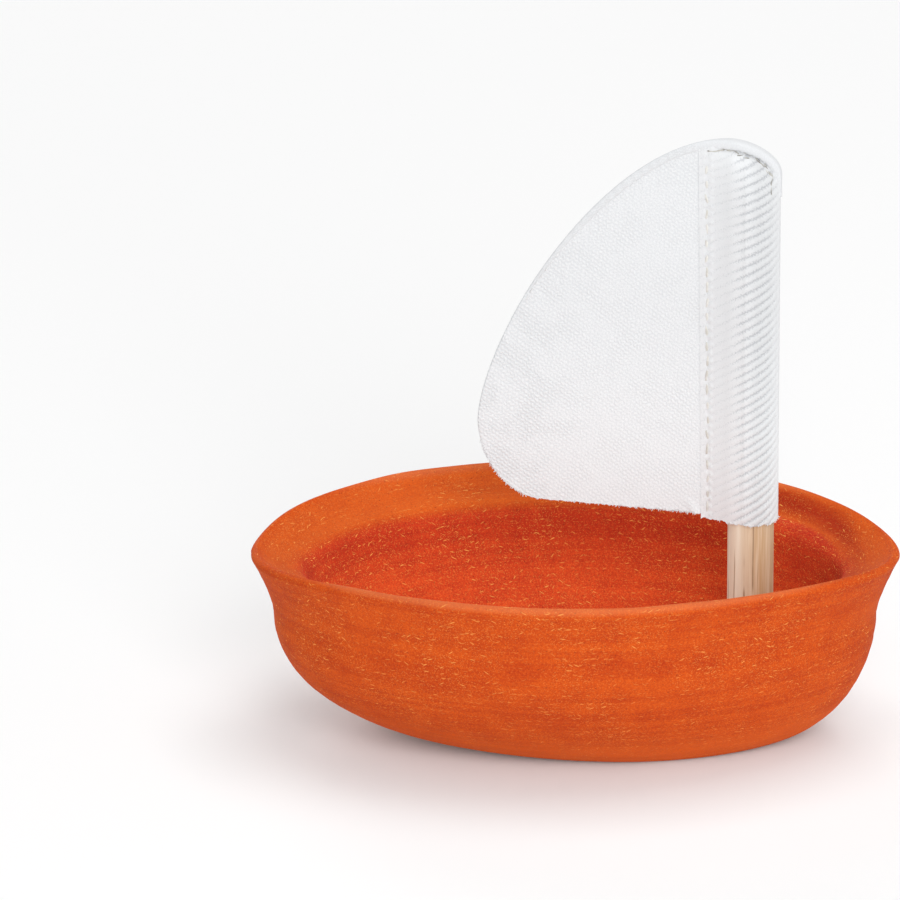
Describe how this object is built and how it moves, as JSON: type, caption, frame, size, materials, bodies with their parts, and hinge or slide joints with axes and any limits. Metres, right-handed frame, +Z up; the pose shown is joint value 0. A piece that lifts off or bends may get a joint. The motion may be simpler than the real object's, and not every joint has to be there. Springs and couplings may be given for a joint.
{
  "type": "toy sailing boat",
  "caption": "Toy sailing boat: an oval bowl-shaped hull with a rolled lip, a round wooden mast and a cloth sail whose sewn sleeve slips over the mast and swings round it.",
  "frame": {"origin": "middle of the hull's length and beam, on the surface that the boat stands on", "axes": "+X towards the bow, +Y to port, +Z up along the mast"},
  "size_m": [0.16, 0.1142, 0.154],
  "materials": {
    "hull": "matte orange wood-fibre composite",
    "mast": "bare sanded pale hardwood",
    "sail_cloth": "white cotton, fine weave",
    "sleeve_cloth": "white cotton twill",
    "thread": "white cotton thread"
  },
  "bodies": {
    "hull_body": {"hull": "hull"},
    "mast_body": {"mast": "mast"},
    "sail_body": {"sail_panel": "sail_cloth", "mast_sleeve": "sleeve_cloth", "leech_hem": "sail_cloth", "luff_stitching": "thread", "head_stitching": "thread", "leech_stitching": "thread"}
  },
  "joints": [
    {"name": "sail_swing", "type": "hinge", "parent": "hull_body", "child": "mast_body", "pos_m": [0.0432, 0, 0.02], "axis": [0, 0, 1], "continuous": true},
    {"name": "sail_lift", "type": "slide", "parent": "mast_body", "child": "sail_body", "axis": [0, 0, 1], "range_m": [0, 0.09]}
  ]
}
